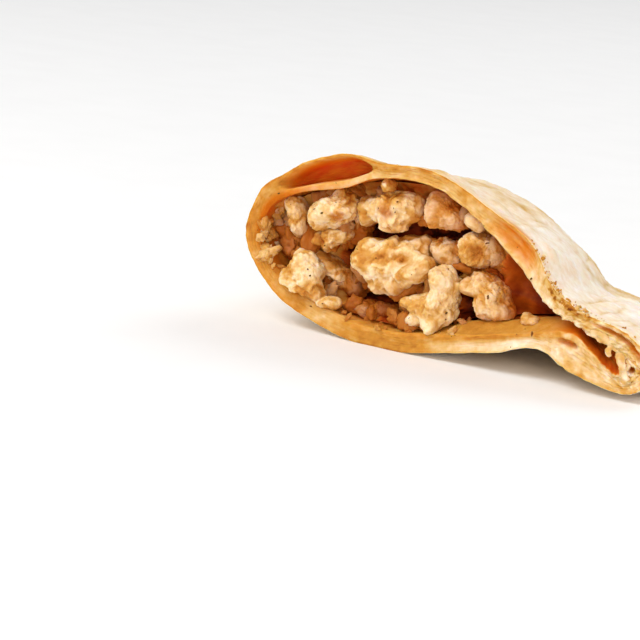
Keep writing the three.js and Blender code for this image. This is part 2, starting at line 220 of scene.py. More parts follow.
# Adds a node with its settings and gives one of its outputs. Inputs go by name or number, and are values, hex
# colours or other nodes' outputs; stops are the places and colours of a colour ramp.
def addNode(tree, kind, inputs, out=0, stops=(), **settings):
    node = tree.nodes.new("ShaderNode" + kind)
    for key, value in settings.items():
        setattr(node, key, value)
    for key, value in inputs.items():
        if isinstance(value, bpy.types.NodeSocket):
            tree.links.new(value, node.inputs[key])
        else:
            node.inputs[key].default_value = colour(value) if isinstance(value, str) else value
    for i, (place, hexCode) in enumerate(stops):
        stop = node.color_ramp.elements[i] if i < 2 else node.color_ramp.elements.new(place)
        stop.position, stop.color = place, colour(hexCode)
    return node.outputs[out] if node.outputs else None


# A new material, what adds a node to it, the place in Object coordinates and the values that the mesh brings
def newMaterial(name, *values):
    material = bpy.data.materials.new(name)
    material.use_nodes = True
    material.node_tree.nodes.clear()
    add = partial(addNode, material.node_tree)
    return material, add, add("TexCoord", {}, "Object"), *[
        add("Attribute", {}, "Fac", attribute_name=key) for key in values]


# Value + the sum of share times pattern - less, for patterns of a scale (1000 for 1 mm), detail and share; gives
# the patterns too
def addPatterns(add, place, value, less, *patterns):
    made = []
    for scale, detail, share in patterns:
        made.append(add("TexNoise", {"Vector": place, "Scale": scale, "Detail": detail}))
        value = add("Math", {0: made[-1], 1: share, 2: value}, operation="MULTIPLY_ADD")
    return add("Math", {0: value, 1: less}, operation="SUBTRACT"), *made


# Baked wheat dough, rolled thin: dry and floury where it is pale, golden to brown where the oven toasted it,
# painted glowing orange where light comes through a thin leaf, and wet with sauce on the inside, darker there as
# painted shade deeper in the hollow. Depth is how far light spreads in it, in mm, less in thin crumbs.
def bakedDough(name, depth):
    material, add, place, toast, glow, sauceAndShade = newMaterial(name, "toast", "glow", "sauceAndShade")
    # mottling 5 mm and 1.3 mm across, flour grains drawn as coarse as 0.4 mm so that they show
    uneven, _, mottle = addPatterns(add, place, toast, 0.33, (200, 3, 0.36), (770, 3, 0.3))
    grains = add("TexNoise", {"Vector": place, "Scale": 2500, "Detail": 2})
    dough = add("ValToRGB", {"Fac": uneven}, stops=[
        (0.0, "#FFF2E6"), (0.22, "#EDD2AC"), (0.42, "#D9AF6A"), (0.6, "#C98D34"), (0.8, "#A8641A"), (1.0, "#74380F"),
    ])
    lit = add("ValToRGB", {"Fac": glow}, stops=[(0.0, "#DC9632"), (0.5, "#D2780C"), (1.0, "#C84A06")])
    glowing = add("Math", {0: glow, 1: 1.8}, operation="MULTIPLY", use_clamp=True)
    dough = add("Mix", {0: glowing, 6: dough, 7: lit}, 2, data_type="RGBA")
    wet = add("ValToRGB", {"Fac": mottle}, stops=[(0.3, "#A4500F"), (0.75, "#D8842C")])
    dough = add("Mix", {0: sauceAndShade, 6: dough, 7: wet}, 2, data_type="RGBA")
    dry = add("Math", {0: sauceAndShade, 1: -0.35, 2: 0.72}, operation="MULTIPLY_ADD")
    bump = add("Bump", {"Strength": 0.25, "Distance": 0.0004, "Height": grains})
    shader = add("BsdfPrincipled", {
        "Base Color": dough, "Roughness": dry, "Normal": bump, "IOR": 1.45, "Specular IOR Level": 0.2,
        "Subsurface Weight": 0.6, "Subsurface Radius": [1.0, 0.6, 0.22], "Subsurface Scale": depth / 1000,
    })
    add("OutputMaterial", {"Surface": shader})
    return material


# Cooked chicken breast, torn by hand: cream with a soft moist gloss, golden in the creases, partly sauce and fat and
# partly painted shade, and mixed towards the sauce colour, which also stands for painted shade on shaded and deeper
# sides
def tornChicken(name, depth, sauceAndShadeColour):
    material, add, place, creaseAndShade, sauceAndShade = newMaterial(name, "creaseAndShade", "sauceAndShade")
    # stains 4 mm across, fibres and grains 0.8 mm
    golden, _, grain = addPatterns(add, place, creaseAndShade, 0.35, (250, 3, 0.5), (1250, 3, 0.5))
    meat = add("ValToRGB", {"Fac": golden}, stops=[
        (0.0, "#F6E4C4"), (0.2, "#EAC994"), (0.45, "#D6A356"), (0.72, "#CA8A38"), (1.0, "#A45C16"),
    ])
    meat = add("Mix", {0: sauceAndShade, 6: meat, 7: sauceAndShadeColour}, 2, data_type="RGBA")
    bump = add("Bump", {"Strength": 0.2, "Distance": 0.0004, "Height": grain})
    shader = add("BsdfPrincipled", {
        "Base Color": meat, "Roughness": 0.5, "Normal": bump, "IOR": 1.4, "Specular IOR Level": 0.2,
        "Subsurface Weight": 0.6, "Subsurface Radius": [0.8, 0.62, 0.2], "Subsurface Scale": depth / 1000,
    })
    add("OutputMaterial", {"Surface": shader})
    return material


# Chicken pressed into a reddish-brown sauce: orange-brown, darker in its creases, partly sauce and partly painted
# shade, and nearly black in its gaps, painted shade
def saucedChicken():
    material, add, place, creaseAndShade = newMaterial("saucedChicken", "creaseAndShade")
    dark, _ = addPatterns(add, place, creaseAndShade, 0.4, (300, 3, 0.8))  # stains 3.3 mm across
    meat = add("ValToRGB", {"Fac": dark}, stops=[
        (0.0, "#DFA95C"), (0.25, "#D08A38"), (0.45, "#C45E16"), (0.7, "#8E3208"), (1.0, "#3A1004"),
    ])
    shader = add("BsdfPrincipled", {
        "Base Color": meat, "Roughness": 0.5, "IOR": 1.4, "Specular IOR Level": 0.15,
        "Subsurface Weight": 0.2, "Subsurface Radius": [1.0, 0.4, 0.15], "Subsurface Scale": 0.0015,
    })
    add("OutputMaterial", {"Surface": shader})
    return material


dough = bakedDough("bakedDough", 2.5)
doughCrumb = bakedDough("doughCrumb", 0.2)
# the sauce colours also stand for painted shade, the darker one for the shreds and small bits
meat = tornChicken("tornChicken", 1.7, "#BA6618")
shreddedMeat = tornChicken("shreddedChicken", 0.25, "#A4540F")
sauced = saucedChicken()
print("materials ready")

crust = {  # mm, but for the shares and counts
    "length": 88, "foldX": -41, "edgeX": 52.5, "foldBow": 7.75,
    "slopeX": 26, "slopeWidth": 9, "slopeSink": 0.1, "edgeDroop": 1.9,
    "hollowLength": 74, "gapDepth": 15, "floorRise": 2.4,
    "rowWidth": 10,  # about, round the section from one of its rows to the next
    "leaf": 0.55, "tornSkin": 1.5, "tornHollow": 1.8,  # a leaf's thickness, and how far the edges are torn back
    "columns": 480, "outerRows": 108, "cutRows": 38, "hollowRows": 50,
}

# The wall at the cut, from the tip of the sealed edge over the top to the fold and back underneath: outside,
# hollow at the mouth, hollow further in (x and z of each)
section = np.array([
    [52.5, 5.8, 46, 7.6, 31.6, 12], [47.5, 11.9, 43, 9.8, 31.2, 13], [37, 15.8, 34, 12.5, 30.4, 14],
    [29.5, 19.4, 28.2, 15.4, 28.2, 15.4], [23.6, 26.4, 21.8, 21.6, 21.8, 21.6],
    [13.5, 31.4, 12, 28.4, 12, 28.4], [2, 36.2, 1.5, 33.4, 1.5, 33.4],
    [-10, 36.7, -10.5, 33.4, -10.5, 33.4], [-20.5, 37, -19.5, 29.9, -20.2, 32.6],
    [-32, 32, -30.4, 26.9, -30.8, 28.6], [-39.5, 24.5, -37, 22.8, -37, 22.8],
    [-40.6, 15.5, -38, 16, -38, 16], [-33.5, 6.6, -31.2, 9.2, -31.2, 9.2],
    [-20, 1.3, -18.6, 4.6, -18.6, 4.6], [-6, -0.3, -6, 3.6, -6, 3.6], [10, 2.4, 10, 5.9, 10, 5.9],
    [27, 6.4, 25.5, 9.2, 25.5, 9.2], [35, 3.6, 34.8, 10.9, 30.4, 10.2], [47.3, 1.7, 43.6, 5.6, 31.2, 11],
])
loops = len(section)

# Air pockets open at the cut: row of the section, half length in rows, middle and half width as shares of the
# wall from outside in, depth, how lit they are, and how wide their rim is as a share
pockets = [
    (8.3, 1.04, 0.43, 0.37, 5.5, 0.85, 0.18),  # the bubble under the top skin
    (4.25, 0.8, 0.45, 0.5, 1.7, 0.55, 0.8),  # the slit on the slope
    (16.85, 0.32, 0.7, 0.13, 1.6, 0.4, 0.6),  # the small hole in the lower leaf
    (0.95, 0.9, 0.36, 0.16, 1.6, 0.5, 0.6),  # the crack in the upper leaf
    (18.8, 0.2, 0.72, 0.12, 2.5, 0.8, 0.5),  # the little hole beside the edge
]
# Blisters: row, share of the length, radius, height
blisters = [
    (7.8, 0.13, 16, -1.5), (5.2, 0.34, 7, 0.7), (7.6, 0.52, 8, 1.5), (9.8, 0.3, 7, 1.2), (10.6, 0.6, 6, 1.2),
    (3.4, 0.62, 6, 1.1), (8.6, 0.78, 6, 1.1),
]


# The closed curve through points, read at row
def onLoop(points, row):
    first = np.floor(row).astype(int)
    a, b, c, d = [points[(first + k) % loops] for k in (-1, 0, 1, 2)]
    return curveThrough(a, b, c, d, (row - first)[..., None])


# Shares of the width left at share s of the length: (1-s^2.7)^1.09
def widthLeft(s):
    return np.clip(1 - s ** 2.7, 0, 1) ** 1.09


# Carries points of the section to share s of the length: widths shrink by widthLeft from the bowed fold, heights
# by (1+0.025(1-e^-20s)-0.52s)(1-s^5)^0.5 and by the sink of the slope
def atShare(flat, s):
    x, z = flat[..., 0], flat[..., 1]
    slope = np.exp(-((x - crust["slopeX"]) / crust["slopeWidth"]) ** 2) * smooth(z, 8, 18)
    sunk = 1 - crust["slopeSink"] * np.minimum(1, s / 0.35) * slope
    height = (1 + 0.025 * (1 - np.exp(-20 * s)) - 0.52 * s) * np.sqrt(np.clip(1 - s ** 5, 0, 1))
    bowed = crust["foldX"] + crust["foldBow"] * s ** 2 + (x - crust["foldX"]) * widthLeft(s)
    return np.stack([bowed, z * height * sunk], -1)


# Unit direction to the outside, square to the way from one point of the section to another
def outward(before, after):
    way = unit(after - before)
    return np.stack([way[..., 1], -way[..., 0]], -1)


# Broad unevenness of the skin: swells, blisters (1-r^2)^2 high, and pleats that run up from the sealed edge
def broadRelief(row, s, x, y, z):
    height = 0.55 * ripple(x, y, z, 19, 2) + 0.3 * ripple(x, y, z, 11, 5)
    for atRow, along, radius, high in blisters:
        away = np.hypot((row - atRow) * crust["rowWidth"], (s - along) * crust["length"]) / radius
        height += high * np.clip(1 - away ** 2, 0, 1) ** 2
    fromEdge = np.minimum(row, loops - row)
    across = np.abs(np.sin(math.pi * (y + fromEdge * 2.5) / 15 + 0.8))
    nearEdge = (1 - smooth(fromEdge, 1.5, 5)) * smooth(s, 0.12, 0.3)
    return height - 1.1 * (1 - across) ** 3 * nearEdge


# The crust's outside at row and share s of the length, with the sealed edge's wave, and its outward direction
def onCrust(row, s):
    def at(r):
        return atShare(onLoop(section[:, 0:2], r), s)

    out = outward(at(row - 0.05), at(row + 0.05))
    x, z = np.moveaxis(at(row), -1, 0)
    y = crust["length"] * s
    fadeAtTip = 1 - smooth(s, 0.93, 1)
    relief = broadRelief(row, s, x, y, z) * smooth(z, 0.5, 5) * fadeAtTip
    reach = np.maximum((crust["edgeX"] - crust["foldX"]) * widthLeft(s), 1e-6)
    flap = smooth((x - crust["foldX"]) / reach, 0.8, 1)
    wave = np.sin(2 * math.pi * y / 26 + 0.6) * flap * smooth(s, 0.04, 0.2) * fadeAtTip
    x = x + out[..., 0] * relief + 1.3 * wave
    droop = crust["edgeDroop"] * smooth(s, 0.03, 0.2) * smooth(x, 34, 44) * (1 - smooth(z, 3, 7))
    z = np.maximum(0, z + out[..., 1] * relief + 0.5 * wave - droop)
    return spots(x, y, z), out


# The hollow in the crust at row and share s, inset by some air; its mouth closes to the deeper section over the
# depth of the gap, and its floor rises a little behind the cut
def onHollow(row, s, inset=0):
    closed = smooth(s * crust["length"], 0, crust["gapDepth"])[..., None]

    def at(r):
        return atShare(mix(onLoop(section[:, 2:4], r), onLoop(section[:, 4:6], r), closed), s)

    flat = at(row) - outward(at(row - 0.05), at(row + 0.05)) * inset
    y = crust["length"] * s
    turn = row % loops
    rise = crust["floorRise"] * smooth(turn, 14.2, 15.1) * (1 - smooth(turn, 16.5, 17.5)) * smooth(y, 0.4, 6.5)
    return spots(flat[..., 0], y, flat[..., 1] + rise)


# How far behind the cut the dough's cut surface lies, and how orange the light makes it: pockets whose outline is
# a^3+b^3=1, a and b being shares of their half sizes, and the wander of the knife
def cutDepth(row, share):
    depth, glow = 0, 0
    for atRow, halfRows, middle, halfWidth, deep, lit, rim in pockets:
        away = (np.abs((row - atRow) / halfRows) ** 3 + np.abs((share - middle) / halfWidth) ** 3) ** (1 / 3)
        sunk = smooth(1 - away, 0, rim)
        depth, glow = np.maximum(depth, deep * sunk), np.maximum(glow, lit * sunk)
    wander = 1.7 + ripple(row * crust["rowWidth"], share * 3, 0, 10, 4)
    return depth + 0.25 * wander * np.sin(math.pi * share), glow


# Draws rings together at a blind end, to (1-(s/end)^8)^0.5 of their size
def drawnIn(rings, s, end):
    keep = np.sqrt(np.clip(1 - (s / end) ** 8, 0, 1))[..., None]
    return mix(rings.mean(axis=1, keepdims=True), rings, keep)


# 0.45t + 0.55 sin(pi t/2): closer together towards the tip
def lengthShare(t):
    return 0.45 * t + 0.55 * np.sin(math.pi / 2 * t)


# Values at each row of the section
sectionValues = {
    # how ragged the torn edge is, and how far the wall rolls back from the cut before the hollow starts, in mm
    "ragged": [1.0, 1.0, .9, .5, .35, .45, .5, .4, .3, .25, .22, .22, .22, .22, .22, .25, .3, .5, .7],
    "rolledIn": [.1, .1, .2, .3, .3, .3, .2, .2, .3, 1.4, 2.2, 2.4, 2.0, 1.2, .7, .5, .4, .3, .1],
    # how toasted the cut is next to the outside and next to the hollow
    "toastOutside": [
        .38, .36, .44, .36, .40, .46, .53, .57, .52, .54, .58, .58, .56, .50, .70, .38, .18, .34, .38,
    ],
    "toastInside": [
        .34, .30, .28, .26, .34, .42, .46, .42, .30, .42, .58, .60, .54, .50, .60, .66, .60, .40, .32,
    ],
    # how far light comes through the skin, and through the thin leaves round the gap
    "lightThrough": [.1, 0, 0, 0, 0, 0, .05, .1, .2, .62, .82, .62, .35, .15, .1, 0, 0, 0, 0],
    "lightInGap": [.95, .9, .4, .2, .2, .4, .7, .85, .8, .6, .3, 0, 0, 0, 0, 0, .1, .7, .95],
}


# Rings round the section, over the skin from the tip to the cut, through the dough there and along the hollow to
# its blind end, with relief and the material's values worked out at each point
def makeCrust():
    cols = crust["columns"]
    # columns closer together round the ragged sealed edge
    fine = np.linspace(0, loops, 2000)
    fromEdge = np.minimum(np.abs(fine - 1), loops - np.abs(fine - 1))
    density = 1 + 0.9 * np.exp(-(fromEdge / 3.5) ** 2)
    reach = np.concatenate([[0], np.cumsum((density[1:] + density[:-1]) / 2)])
    row = np.interp(np.arange(cols) / cols, reach / reach[-1], fine)
    rag, rolled, toastSkin, toastHollow, light, lightIn = [
        np.interp(row, np.arange(loops + 1), [*values, values[0]]) for values in sectionValues.values()]
    along = spots(row * crust["rowWidth"])

    # how far the edges of the skin and of the hollow lie behind the cut: torn, and rolled in at the fold
    tornOut = rag * crust["tornSkin"] * np.abs(roughness(along, 3.2, 40)) + 0.05
    tornIn = rag * crust["tornHollow"] * np.abs(roughness(along + 77, 2.6, 44)) + 0.05

    # the skin, from the tip to the cut
    t = np.linspace(1, 0, crust["outerRows"] + 1)[1:] ** 1.25
    s = lengthShare(t)[:, None]
    s = s + (1 - s) ** 6 * tornOut / crust["length"]
    rows = row + 0 * s
    outside, out = onCrust(rows, s)
    y = outside[..., 1]
    away = smooth(s, 0, 0.05)
    steady = smooth(outside[..., 2], 0.3, 3) * (1 - smooth(s, 0.95, 1))
    # fine relief: wrinkles along the body, small blisters, thin leaves of skin that end in low steps
    stretched = outside * np.array([1.0, 0.35, 1.0])
    wrinkles = 0.1 * noise(stretched, 2.4, 50) + 0.07 * roughness(outside, 1.6, 51)
    drawn = outside * np.array([1.0, 0.16, 1.0]) + 0.6 * noise(outside, 9, 52)[..., None]
    grooves = (1 - np.abs(noise(drawn, 3.6, 53))) ** 9 * smooth(noise(outside, 14, 54), -0.1, 0.5)
    nearest = nuggets(outside + 0.8 * noise(outside, 5, 55)[..., None], 8, 56)[0]
    chosen = smooth(noise(outside, 16, 57), -0.2, 0.3)
    bubbles = 0.75 * np.clip(1 - (nearest / 0.42) ** 2, 0, 1) ** 1.5 * chosen
    leaf = roughness(outside * np.array([1, 0.6, 1]), 9, 58) * 4
    steps = 0.17 * (np.floor(leaf) + smooth(leaf - np.floor(leaf), 0.82, 1.0) - leaf)
    fineRelief = (wrinkles + bubbles * away + steps * away - 0.3 * grooves * away) * steady
    outside[..., [0, 2]] += out * fineRelief[..., None]
    outside[..., 2] = np.maximum(0, outside[..., 2])

    # the cut through the dough, from the skin to the hollow
    share = np.linspace(0, 1, crust["cutRows"] + 2)[1:-1][:, None]
    rowsCut = row + 0 * share

    # places for noise on the cut, at some measure across the dough
    def onCut(across):
        return spots(rowsCut * crust["rowWidth"], across)

    depth, pocketGlow = cutDepth(rowsCut, share)
    pocketGlow *= 1 + 0.35 * roughness(spots(rowsCut * 4, share * 6), 2, 48)
    # leaves of dough, each torn off at its own depth, with dark lines between some of them
    thickness = np.linalg.norm(onLoop(section[:, 0:2], row) - onLoop(section[:, 2:4], row), axis=-1)
    spread = share * np.clip(thickness / crust["leaf"], 3, 9) + 0.5 * noise(onCut(share * 2), 4, 60)
    leafNumber = np.floor(spread)
    within = spread - leafNumber
    tornAt = noise(onCut(leafNumber * 37.7), 2.2, 61) + 0.5 * noise(onCut(leafNumber * 17.7), 0.9, 62)
    between = np.clip(1 - np.minimum(within, 1 - within) / 0.16, 0, 1) * smooth(tornAt, -0.4, 0.5)
    leaves = (0.05 + 0.9 * rag) * (0.5 + 0.5 * tornAt) * 0.7 + (0.03 + 0.5 * rag) * between
    # crumbs, and pores 0.7 mm across
    crumb = onCut(share * thickness)
    pores = nuggets(crumb, 1.5, 68)[0]
    crumbs = (0.08 + 0.22 * rag) * roughness(crumb, 0.9, 63) + 0.3 * np.clip(1 - pores / 0.24, 0, 1)
    # less of it towards the torn edges of the skin and of the hollow
    bulge = np.sin(math.pi * share)
    depth = np.maximum(depth + leaves * bulge ** 0.5 + crumbs, 0.0)
    edges = mix(tornOut, tornIn, share) * (1 - bulge ** 0.5) + 0.02
    depth = np.maximum(depth, edges) + rolled * share ** 3
    atDepth = depth / crust["length"]
    sway = 0.02 * rag * noise(onCut(share * 4), 1.6, 64)
    cut = mix(onCrust(rowsCut, atDepth)[0], onHollow(rowsCut, atDepth), (share + sway * bulge)[..., None])
    cut[..., 1] = depth
    # the leaf over the gap hangs down in rags
    rags = np.clip(rag - 0.3, 0, 1) * (1.5 * roughness(along, 3.6, 46) - 1.0)
    acrossGap = outward(onLoop(section[:, 2:4], row - 0.05), onLoop(section[:, 2:4], row + 0.05))
    cut[..., [0, 2]] -= acrossGap * (rags * share ** 3)[..., None]

    # the hollow, to its blind end
    t = np.linspace(0, 1, crust["hollowRows"] + 1)[:-1] ** 1.2
    end = crust["hollowLength"] / crust["length"]
    sIn = (end * lengthShare(t))[:, None]
    sIn = sIn + (1 - sIn / end) ** 6 * (tornIn + rolled) / crust["length"]
    rowsIn = row + 0 * sIn
    inside = onHollow(rowsIn, sIn)
    inside[..., [0, 2]] -= acrossGap * (rags * np.exp(-inside[..., 1] / 2.5))[..., None]
    dents = (0.3 * roughness(inside, 5, 70) + 0.2 * roughness(inside, 1.5, 74)) * smooth(sIn, 0, 0.03)
    flat = inside[..., [0, 2]]
    toHollow = outward(np.roll(flat, 1, axis=1), np.roll(flat, -1, axis=1))
    inside[..., [0, 2]] += toHollow * np.minimum(dents, 0.1)[..., None]
    inside = drawnIn(inside, sIn, end)

    # values for the material
    overTop = np.clip(1 - np.abs((rows - 8.5) / 4.5) ** 2, 0, 1)
    # broad browned patches with ragged edges, fewer on the slope near the cut
    patch = roughness(outside * np.array([1.0, 0.7, 1.0]), 15, 80, 4, 0.55)
    onSlope = np.exp(-((rows - 3.5) / 2.5) ** 4) * (1 - smooth(y, 25, 60))
    toastOut = 0.07 + 0.16 * overTop + (0.44 - 0.3 * onSlope) * smooth(patch, -0.3, 0.85)
    toastOut += 0.28 * np.clip(bubbles * 1.5, 0, 0.7) * (0.4 + 0.6 * overTop)
    toastOut += 0.14 * smooth(steps, 0.02, 0.12) + 0.22 * grooves * away
    nearCut = np.exp(-(y - tornOut) / 1.6)
    toastOut = mix(toastOut, toastSkin * 0.9, nearCut * 0.38)
    slit = np.exp(-((rows - 4.3) / 0.5) ** 2 - (y / 2.0) ** 2)
    glowOut = np.maximum(0.5 * slit, light * 0.3 * np.exp(-y / 6))

    toastCut = mix(toastSkin, toastHollow, smooth(share, 0.4, 0.85))
    patches = smooth(noise(onCut(0), 5, 66), -0.3, 0.4)
    toastCut += (0.01 + 0.05 * rag) * tornAt + (0.02 + 0.2 * rag) * between * patches
    toastCut += (0.06 + 0.22 * rag) * (noise(crumb, 2.2, 69) + 0.5 * noise(crumb, 0.8, 65))
    toastCut += 0.2 * np.clip(1 - share / 0.12, 0, 1)
    # browned crumbs along the lip of the slope
    lip = np.exp(-((rowsCut - 2.6) / 0.8) ** 2 - ((share - 0.3) / 0.22) ** 2)
    toastCut += 0.5 * lip * smooth(roughness(onCut(share * 3), 1.2, 67), -0.1, 0.35)
    glowCut = np.maximum(pocketGlow, light * smooth(share, 0.35, 0.9) * 0.8)
    inDeep = inside[..., 1]
    # clean dough on the floor at the right, light through the thin leaves round the gap, and sauce colour further
    # into the hollow, partly sauce and partly painted shade, less where light comes through
    cleanFloor = np.exp(-((rowsIn - 15.8) / 1.6) ** 4)
    glowIn = (0.3 - 0.16 * cleanFloor) * smooth(inDeep, 1, 5 + 5 * cleanFloor)
    glowIn = np.maximum(glowIn, light * 1.3 * np.exp(-inDeep / 16))
    glowIn = np.maximum(glowIn, lightIn * smooth(inDeep, 0.2, 1.0) * np.exp(-inDeep / 30))
    sauceAndShadeIn = smooth(inDeep, 1.5 + 6 * cleanFloor, 6 + 6 * cleanFloor) * (1 - 0.6 * np.maximum(light, lightIn))

    def stacked(tipValue, partOut, partCut, partIn, endValue):
        parts = [partOut + 0 * rows, partCut + 0 * rowsCut, partIn + 0 * rowsIn]
        return np.concatenate([[tipValue], *[part.ravel() for part in parts], [endValue]])

    tip = onCrust(row, np.ones_like(row))[0].mean(axis=0)
    blind = onHollow(row, np.full_like(row, end)).mean(axis=0)
    points = np.concatenate([[tip], outside.reshape(-1, 3), cut.reshape(-1, 3), inside.reshape(-1, 3), [blind]])
    values = {
        "toast": stacked(0.3, toastOut, toastCut, toastHollow, 0.4),
        "glow": stacked(0, glowOut, glowCut, glowIn, 0.4),
        "sauceAndShade": stacked(0, 0, smooth(share, 0.9, 1.0) * 0.2, sauceAndShadeIn, 1),
    }
    faces = ringFaces(crust["outerRows"] + crust["cutRows"] + crust["hollowRows"], cols)
    piece = makePiece("empanadaCrust", points, faces, dough, values)
    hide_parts("crust")
    return points


crustPoints = makeCrust()
cadCrust = [np.array(corner) * 1000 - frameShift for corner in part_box("crust")]
print("crust made", crustPoints.min(axis=0).round(2), crustPoints.max(axis=0).round(2), "in CAD",
      cadCrust[0].round(2), cadCrust[1].round(2))

chicken = {
    "stretch": 1.5, "melt": 2.0,  # lumps are longer from front to back, and run together over about 1/melt mm
    "clearance": 0.12, "proud": 1.2,  # mm, to the wall and between pieces, and how far one may stick out of the cut
    "nearby": 24, "steps": 34, "facets": 56, "bitFacets": 28,
    "lump": 4.2, "nodule": 1.8, "flakes": (3.8, 1.4), "fibre": 0.9,  # mm, sizes of torn meat's relief
    "towardsLight": (-0.26, -0.6, 0.75),  # painted shade: the sauce colour is laid more on the sides that face away from it
}

# Lumps of each piece, front ones first: x, y, z and radius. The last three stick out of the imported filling.
lumps = {
    "chicken_lower_centre": [
        [2.9, 4.6, 15.3, 2.7], [4.5, 5.2, 14.3, 1.8], [3.8, 4.5, 11.6, 2.7], [1.5, 4.2, 9.6, 2.5],
        [2.6, 3.6, 7.3, 2.3], [3.2, 1.6, 6, 1.4], [-1.5, 4, 9.1, 2.1], [-4, 3.4, 9.5, 1.2],
        [-1.7, 3.6, 6.5, 1.4], [4.6, 4.8, 9.1, 1.8],
    ],
    "chicken_centre": [
        [-14.4, 6, 16.6, 3.5], [-10.8, 6.4, 16, 3.9], [-8.8, 6.4, 18.8, 2.5], [-11, 5.8, 12.8, 2.7],
        [-8.1, 5.4, 12.3, 2], [-3.2, 4.2, 16, 2.5], [-1.1, 4, 17.2, 2], [-5.2, 4.4, 14.2, 2],
        [-4.2, 8.4, 20.2, 2.1], [-6.3, 7.4, 19.7, 2.1], [-4.2, 7, 18, 2.3],
    ],
    "chicken_upper_left": [
        [-25.6, 4.4, 23.3, 2.3], [-24, 4.6, 24.6, 2.5], [-21.1, 4.8, 25.1, 2.5], [-20.5, 5.2, 26.4, 1.8],
        [-22.7, 4.8, 22.8, 1.6], [-26, 4.2, 21.8, 1.6], [-22.6, 5.4, 26.9, 1.7],
    ],
    "chicken_lower_left": [
        [-28.4, 2.8, 12.8, 2.5], [-26.4, 3, 11.4, 2.3], [-29.7, 1.7, 10, 2.1], [-27.5, 1.8, 9.1, 2.3],
        [-25.4, 2.3, 8.4, 2.1], [-23.8, 1.8, 7.6, 1.4], [-30.1, 1.3, 9.1, 1.4],
    ],
    "chicken_upper_middle": [
        [-16.8, 6.8, 26, 2.1], [-16.2, 7, 23.6, 1.8], [-11.2, 5.6, 27.5, 2.5], [-8.4, 5.8, 28.2, 2.3],
        [-6.5, 6.4, 26.9, 2.1], [-8.6, 5.2, 24.6, 2], [-11.1, 5.2, 24.4, 1.8], [-5.8, 7.2, 28.5, 1.8],
        [-14, 6.2, 26.4, 2.2],
    ],
    "chicken_upper_right": [
        [-0.5, 5.8, 29.4, 2.1], [0.2, 5.8, 27.3, 2.3], [2.6, 6.8, 27.2, 2.5], [3.8, 8, 26.5, 1.8],
        [1.1, 7.4, 29.3, 2],
    ],
    "chicken_lower_right": [
        [8.1, 7.6, 14.5, 2], [10.6, 7.4, 15.4, 2.5], [13, 7.2, 13.4, 2.7], [14.9, 7.4, 11.4, 2.3],
        [12.4, 7, 11.4, 2], [16.3, 7.6, 10.4, 1.4],
    ],
    "chicken_right": [[7.5, 7.4, 22.2, 2.3], [8.8, 8, 23, 1.8], [9.3, 8.4, 20.7, 2], [7.2, 7, 20.4, 1.6]],
    "chicken_middle_left": [
        [-27.3, 6.6, 17.7, 1.8], [-23.8, 5.8, 18.6, 2], [-21.4, 6, 19.4, 1.6], [-24.5, 6.4, 17, 1.4],
    ],
    "chicken_far_left": [
        [-33, 5, 23.6, 1.6], [-32.1, 5, 21.9, 1.8], [-32.1, 5.4, 20.2, 1.6], [-31, 5.8, 19, 1.4],
    ],
    "chicken_strip": [
        [-27.4, 9, 13.7, 1.9], [-25.1, 9.4, 12.1, 2.3], [-22.6, 10, 10.4, 2.3], [-20.2, 10.8, 8.7, 2],
    ],
    "chicken_back_left": [[-19.5, 8.2, 25.7, 1.6], [-18.7, 8.4, 24, 1.8], [-18.1, 9, 21.8, 1.6]],
    "chicken_bit_top": [[-10.8, 3.6, 31.8, 1.4], [-10.1, 3.8, 31.5, 1]],
    "chicken_bit_right": [[8.2, 5.2, 27.9, 1.4], [9.5, 5.6, 26.9, 1]],
    "chicken_bit_floor": [[-21.7, 1.8, 6.3, 1.2], [-19.6, 2.2, 6.3, 1.2]],
    "chicken_bit_floor_right": [[22.5, 5, 11.3, 1.2], [24.1, 5, 11.2, 1]],
    "pressedRight": [[11.2, 10.2, 21.6, 2], [11.8, 10.8, 19.6, 1.7], [10.4, 10, 23.4, 1.6]],
    "pressedCentre": [[0.2, 8.2, 20.8, 2], [2.6, 8.8, 20.6, 1.8], [3.2, 9, 18.6, 1.8], [1, 8.4, 19, 1.6]],
    "pressedLow": [[-18, 7.7, 5.3, 1.6], [-15.2, 7.8, 5.4, 1.8], [-12.2, 8.2, 6, 1.7], [-9.2, 8.4, 5.8, 1.5]],
}
lumps = {name: np.array(balls, float) for name, balls in lumps.items()}
# How much sauce covers each piece, where more than a little; less than 0 where one is clean and pale
sauciness = {
    "chicken_lower_centre": -0.45, "chicken_back_left": 0.2, "chicken_middle_left": 0.12, "chicken_right": -0.3,
    "chicken_upper_right": 0.4, "chicken_far_left": 0.1, "chicken_bit_floor_right": 0.1,
    "chicken_lower_right": 0.1, "pressedRight": -0.1, "pressedCentre": 0.1, "pressedLow": 0.6,
}
# Golden spots of sauce: x, y, z and radius
sauceSpots = [(-10.4, 2.4, 26.5, 2.3), (-20.6, 1.6, 24.0, 2.2)]


# Distances to each of some lumps, which are stretched from front to back
def fromLumps(balls, points):
    away = points[..., None, :] - balls[:, :3]
    away[..., 1] /= chicken["stretch"]
    return np.linalg.norm(away, axis=-1) - balls[:, 3]


# Distance to a piece, whose lumps run together by -ln(sum of e^(-melt d))/melt
def pieceDistance(balls, points):
    together = -np.log(np.sum(np.exp(-chicken["melt"] * fromLumps(balls, points)), axis=-1)) / chicken["melt"]
    return together - 0.3 * ripple(*np.moveaxis(points, -1, 0), 5.5, 3)


# Distances from spots to the straight lines between two points each
def fromLine(spot, start, end):
    way = end - start
    t = np.clip(np.sum((spot - start) * way, -1) / np.sum(way * way, -1), 0, 1)
    return np.linalg.norm(spot - start - t[..., None] * way, axis=-1)


wall = {"corner": (-44, 0, 0), "step": (0.75, 1.0, 0.75), "count": (126, 24, 52), "sides": 96}  # mm


